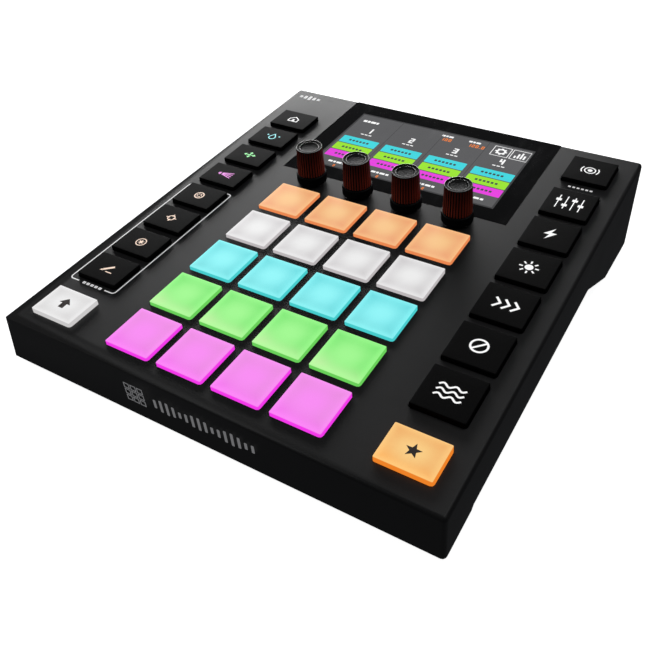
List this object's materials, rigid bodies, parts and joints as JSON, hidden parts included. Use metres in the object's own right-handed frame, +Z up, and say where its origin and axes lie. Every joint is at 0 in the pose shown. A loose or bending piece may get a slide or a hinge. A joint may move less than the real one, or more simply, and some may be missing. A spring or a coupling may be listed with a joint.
{
  "type": "lighting control desk",
  "caption": "Desktop lighting control desk: sloping case on a deep rear leg, lit pad grid, side key columns, push-and-turn encoders under a glass display, rear sockets.",
  "frame": {"origin": "on the table plane under the middle of the desk's bounding box", "axes": "+Z up from the table, +X to the user's right, +Y from the front edge to the socket face"},
  "size_m": [0.2, 0.228, 0.0581],
  "materials": {
    "case_black": "satin",
    "base_black": "textured",
    "rubber": "matte",
    "screen_glass": "polished",
    "display": "satin",
    "silicone": "matte",
    "board_green": "solder mask",
    "encoder_grey": "moulded",
    "steel": "turned",
    "knob_black": "ribbed",
    "key_black": "satin",
    "connector_black": "moulded",
    "connector_metal": "plated",
    "pad_orange": "frosted, lit from below",
    "pad_white": "frosted, lit from below",
    "pad_cyan": "frosted, lit from below",
    "pad_green": "frosted, lit from below",
    "pad_magenta": "frosted, lit from below",
    "key_white": "frosted, lit from below",
    "key_orange": "frosted, lit from below"
  },
  "bodies": {
    "case": {"top_shell": "case_black", "bottom_shell": "base_black", "foot_front": "rubber", "foot_rear": "rubber", "screen_glass": "screen_glass", "display_module": "display", "silicone_mat": "silicone", "key_board": "board_green", "main_board": "board_green", "encoder_block": "encoder_grey", "dmx_socket_a": "connector_black", "dmx_socket_b": "connector_black", "network_socket": "connector_metal", "usb_socket": "connector_metal", "jack_socket": "connector_black"},
    "pad_row1_col1": {"pad_row1_col1": "pad_orange"},
    "pad_row1_col2": {"pad_row1_col2": "pad_orange"},
    "pad_row1_col3": {"pad_row1_col3": "pad_orange"},
    "pad_row1_col4": {"pad_row1_col4": "pad_orange"},
    "pad_row2_col1": {"pad_row2_col1": "pad_white"},
    "pad_row2_col2": {"pad_row2_col2": "pad_white"},
    "pad_row2_col3": {"pad_row2_col3": "pad_white"},
    "pad_row2_col4": {"pad_row2_col4": "pad_white"},
    "pad_row3_col1": {"pad_row3_col1": "pad_cyan"},
    "pad_row3_col2": {"pad_row3_col2": "pad_cyan"},
    "pad_row3_col3": {"pad_row3_col3": "pad_cyan"},
    "pad_row3_col4": {"pad_row3_col4": "pad_cyan"},
    "pad_row4_col1": {"pad_row4_col1": "pad_green"},
    "pad_row4_col2": {"pad_row4_col2": "pad_green"},
    "pad_row4_col3": {"pad_row4_col3": "pad_green"},
    "pad_row4_col4": {"pad_row4_col4": "pad_green"},
    "pad_row5_col1": {"pad_row5_col1": "pad_magenta"},
    "pad_row5_col2": {"pad_row5_col2": "pad_magenta"},
    "pad_row5_col3": {"pad_row5_col3": "pad_magenta"},
    "pad_row5_col4": {"pad_row5_col4": "pad_magenta"},
    "key_left_1": {"key_left_1": "key_black"},
    "key_left_2": {"key_left_2": "key_black"},
    "key_left_3": {"key_left_3": "key_black"},
    "key_left_4": {"key_left_4": "key_black"},
    "key_left_5": {"key_left_5": "key_black"},
    "key_left_6": {"key_left_6": "key_black"},
    "key_left_7": {"key_left_7": "key_black"},
    "key_left_8": {"key_left_8": "key_black"},
    "key_left_9": {"key_left_9": "key_white"},
    "key_right_1": {"key_right_1": "key_black"},
    "key_right_2": {"key_right_2": "key_black"},
    "key_right_3": {"key_right_3": "key_black"},
    "key_right_4": {"key_right_4": "key_black"},
    "key_right_5": {"key_right_5": "key_black"},
    "key_right_6": {"key_right_6": "key_black"},
    "key_right_7": {"key_right_7": "key_black"},
    "key_right_8": {"key_right_8": "key_orange"},
    "spindle_1": {"spindle_1": "steel"},
    "knob_1": {"knob_1": "knob_black"},
    "spindle_2": {"spindle_2": "steel"},
    "knob_2": {"knob_2": "knob_black"},
    "spindle_3": {"spindle_3": "steel"},
    "knob_3": {"knob_3": "knob_black"},
    "spindle_4": {"spindle_4": "steel"},
    "knob_4": {"knob_4": "knob_black"}
  },
  "joints": [
    {"name": "pad_row1_col1_press", "type": "slide", "parent": "case", "child": "pad_row1_col1", "axis": [0, -0.1045, 0.9945], "range_m": [-0.001, 0], "stiffness_N_per_m": 700, "springref_m": 0.0006},
    {"name": "pad_row1_col2_press", "type": "slide", "parent": "case", "child": "pad_row1_col2", "axis": [0, -0.1045, 0.9945], "range_m": [-0.001, 0], "stiffness_N_per_m": 700, "springref_m": 0.0006},
    {"name": "pad_row1_col3_press", "type": "slide", "parent": "case", "child": "pad_row1_col3", "axis": [0, -0.1045, 0.9945], "range_m": [-0.001, 0], "stiffness_N_per_m": 700, "springref_m": 0.0006},
    {"name": "pad_row1_col4_press", "type": "slide", "parent": "case", "child": "pad_row1_col4", "axis": [0, -0.1045, 0.9945], "range_m": [-0.001, 0], "stiffness_N_per_m": 700, "springref_m": 0.0006},
    {"name": "pad_row2_col1_press", "type": "slide", "parent": "case", "child": "pad_row2_col1", "axis": [0, -0.1045, 0.9945], "range_m": [-0.001, 0], "stiffness_N_per_m": 700, "springref_m": 0.0006},
    {"name": "pad_row2_col2_press", "type": "slide", "parent": "case", "child": "pad_row2_col2", "axis": [0, -0.1045, 0.9945], "range_m": [-0.001, 0], "stiffness_N_per_m": 700, "springref_m": 0.0006},
    {"name": "pad_row2_col3_press", "type": "slide", "parent": "case", "child": "pad_row2_col3", "axis": [0, -0.1045, 0.9945], "range_m": [-0.001, 0], "stiffness_N_per_m": 700, "springref_m": 0.0006},
    {"name": "pad_row2_col4_press", "type": "slide", "parent": "case", "child": "pad_row2_col4", "axis": [0, -0.1045, 0.9945], "range_m": [-0.001, 0], "stiffness_N_per_m": 700, "springref_m": 0.0006},
    {"name": "pad_row3_col1_press", "type": "slide", "parent": "case", "child": "pad_row3_col1", "axis": [0, -0.1045, 0.9945], "range_m": [-0.001, 0], "stiffness_N_per_m": 700, "springref_m": 0.0006},
    {"name": "pad_row3_col2_press", "type": "slide", "parent": "case", "child": "pad_row3_col2", "axis": [0, -0.1045, 0.9945], "range_m": [-0.001, 0], "stiffness_N_per_m": 700, "springref_m": 0.0006},
    {"name": "pad_row3_col3_press", "type": "slide", "parent": "case", "child": "pad_row3_col3", "axis": [0, -0.1045, 0.9945], "range_m": [-0.001, 0], "stiffness_N_per_m": 700, "springref_m": 0.0006},
    {"name": "pad_row3_col4_press", "type": "slide", "parent": "case", "child": "pad_row3_col4", "axis": [0, -0.1045, 0.9945], "range_m": [-0.001, 0], "stiffness_N_per_m": 700, "springref_m": 0.0006},
    {"name": "pad_row4_col1_press", "type": "slide", "parent": "case", "child": "pad_row4_col1", "axis": [0, -0.1045, 0.9945], "range_m": [-0.001, 0], "stiffness_N_per_m": 700, "springref_m": 0.0006},
    {"name": "pad_row4_col2_press", "type": "slide", "parent": "case", "child": "pad_row4_col2", "axis": [0, -0.1045, 0.9945], "range_m": [-0.001, 0], "stiffness_N_per_m": 700, "springref_m": 0.0006},
    {"name": "pad_row4_col3_press", "type": "slide", "parent": "case", "child": "pad_row4_col3", "axis": [0, -0.1045, 0.9945], "range_m": [-0.001, 0], "stiffness_N_per_m": 700, "springref_m": 0.0006},
    {"name": "pad_row4_col4_press", "type": "slide", "parent": "case", "child": "pad_row4_col4", "axis": [0, -0.1045, 0.9945], "range_m": [-0.001, 0], "stiffness_N_per_m": 700, "springref_m": 0.0006},
    {"name": "pad_row5_col1_press", "type": "slide", "parent": "case", "child": "pad_row5_col1", "axis": [0, -0.1045, 0.9945], "range_m": [-0.001, 0], "stiffness_N_per_m": 700, "springref_m": 0.0006},
    {"name": "pad_row5_col2_press", "type": "slide", "parent": "case", "child": "pad_row5_col2", "axis": [0, -0.1045, 0.9945], "range_m": [-0.001, 0], "stiffness_N_per_m": 700, "springref_m": 0.0006},
    {"name": "pad_row5_col3_press", "type": "slide", "parent": "case", "child": "pad_row5_col3", "axis": [0, -0.1045, 0.9945], "range_m": [-0.001, 0], "stiffness_N_per_m": 700, "springref_m": 0.0006},
    {"name": "pad_row5_col4_press", "type": "slide", "parent": "case", "child": "pad_row5_col4", "axis": [0, -0.1045, 0.9945], "range_m": [-0.001, 0], "stiffness_N_per_m": 700, "springref_m": 0.0006},
    {"name": "key_left_1_press", "type": "slide", "parent": "case", "child": "key_left_1", "axis": [0, -0.1045, 0.9945], "range_m": [-0.0012, 0], "stiffness_N_per_m": 600, "springref_m": 0.0006},
    {"name": "key_left_2_press", "type": "slide", "parent": "case", "child": "key_left_2", "axis": [0, -0.1045, 0.9945], "range_m": [-0.0012, 0], "stiffness_N_per_m": 600, "springref_m": 0.0006},
    {"name": "key_left_3_press", "type": "slide", "parent": "case", "child": "key_left_3", "axis": [0, -0.1045, 0.9945], "range_m": [-0.0012, 0], "stiffness_N_per_m": 600, "springref_m": 0.0006},
    {"name": "key_left_4_press", "type": "slide", "parent": "case", "child": "key_left_4", "axis": [0, -0.1045, 0.9945], "range_m": [-0.0012, 0], "stiffness_N_per_m": 600, "springref_m": 0.0006},
    {"name": "key_left_5_press", "type": "slide", "parent": "case", "child": "key_left_5", "axis": [0, -0.1045, 0.9945], "range_m": [-0.0012, 0], "stiffness_N_per_m": 600, "springref_m": 0.0006},
    {"name": "key_left_6_press", "type": "slide", "parent": "case", "child": "key_left_6", "axis": [0, -0.1045, 0.9945], "range_m": [-0.0012, 0], "stiffness_N_per_m": 600, "springref_m": 0.0006},
    {"name": "key_left_7_press", "type": "slide", "parent": "case", "child": "key_left_7", "axis": [0, -0.1045, 0.9945], "range_m": [-0.0012, 0], "stiffness_N_per_m": 600, "springref_m": 0.0006},
    {"name": "key_left_8_press", "type": "slide", "parent": "case", "child": "key_left_8", "axis": [0, -0.1045, 0.9945], "range_m": [-0.0012, 0], "stiffness_N_per_m": 600, "springref_m": 0.0006},
    {"name": "key_left_9_press", "type": "slide", "parent": "case", "child": "key_left_9", "axis": [0, -0.1045, 0.9945], "range_m": [-0.0012, 0], "stiffness_N_per_m": 600, "springref_m": 0.0006},
    {"name": "key_right_1_press", "type": "slide", "parent": "case", "child": "key_right_1", "axis": [0, -0.1045, 0.9945], "range_m": [-0.0012, 0], "stiffness_N_per_m": 600, "springref_m": 0.0006},
    {"name": "key_right_2_press", "type": "slide", "parent": "case", "child": "key_right_2", "axis": [0, -0.1045, 0.9945], "range_m": [-0.0012, 0], "stiffness_N_per_m": 600, "springref_m": 0.0006},
    {"name": "key_right_3_press", "type": "slide", "parent": "case", "child": "key_right_3", "axis": [0, -0.1045, 0.9945], "range_m": [-0.0012, 0], "stiffness_N_per_m": 600, "springref_m": 0.0006},
    {"name": "key_right_4_press", "type": "slide", "parent": "case", "child": "key_right_4", "axis": [0, -0.1045, 0.9945], "range_m": [-0.0012, 0], "stiffness_N_per_m": 600, "springref_m": 0.0006},
    {"name": "key_right_5_press", "type": "slide", "parent": "case", "child": "key_right_5", "axis": [0, -0.1045, 0.9945], "range_m": [-0.0012, 0], "stiffness_N_per_m": 600, "springref_m": 0.0006},
    {"name": "key_right_6_press", "type": "slide", "parent": "case", "child": "key_right_6", "axis": [0, -0.1045, 0.9945], "range_m": [-0.0012, 0], "stiffness_N_per_m": 600, "springref_m": 0.0006},
    {"name": "key_right_7_press", "type": "slide", "parent": "case", "child": "key_right_7", "axis": [0, -0.1045, 0.9945], "range_m": [-0.0012, 0], "stiffness_N_per_m": 600, "springref_m": 0.0006},
    {"name": "key_right_8_press", "type": "slide", "parent": "case", "child": "key_right_8", "axis": [0, -0.1045, 0.9945], "range_m": [-0.0012, 0], "stiffness_N_per_m": 600, "springref_m": 0.0006},
    {"name": "spindle_1_turn", "type": "hinge", "parent": "case", "child": "spindle_1", "pos_m": [-0.03885, 0.02943, 0.03805], "axis": [0, -0.1045, 0.9945], "continuous": true},
    {"name": "knob_1_press", "type": "slide", "parent": "spindle_1", "child": "knob_1", "axis": [0, -0.1045, 0.9945], "range_m": [-0.0005, 0], "stiffness_N_per_m": 2000, "springref_m": 0.0006},
    {"name": "spindle_2_turn", "type": "hinge", "parent": "case", "child": "spindle_2", "pos_m": [-0.01295, 0.02943, 0.03805], "axis": [0, -0.1045, 0.9945], "continuous": true},
    {"name": "knob_2_press", "type": "slide", "parent": "spindle_2", "child": "knob_2", "axis": [0, -0.1045, 0.9945], "range_m": [-0.0005, 0], "stiffness_N_per_m": 2000, "springref_m": 0.0006},
    {"name": "spindle_3_turn", "type": "hinge", "parent": "case", "child": "spindle_3", "pos_m": [0.01295, 0.02943, 0.03805], "axis": [0, -0.1045, 0.9945], "continuous": true},
    {"name": "knob_3_press", "type": "slide", "parent": "spindle_3", "child": "knob_3", "axis": [0, -0.1045, 0.9945], "range_m": [-0.0005, 0], "stiffness_N_per_m": 2000, "springref_m": 0.0006},
    {"name": "spindle_4_turn", "type": "hinge", "parent": "case", "child": "spindle_4", "pos_m": [0.03885, 0.02943, 0.03805], "axis": [0, -0.1045, 0.9945], "continuous": true},
    {"name": "knob_4_press", "type": "slide", "parent": "spindle_4", "child": "knob_4", "axis": [0, -0.1045, 0.9945], "range_m": [-0.0005, 0], "stiffness_N_per_m": 2000, "springref_m": 0.0006}
  ]
}
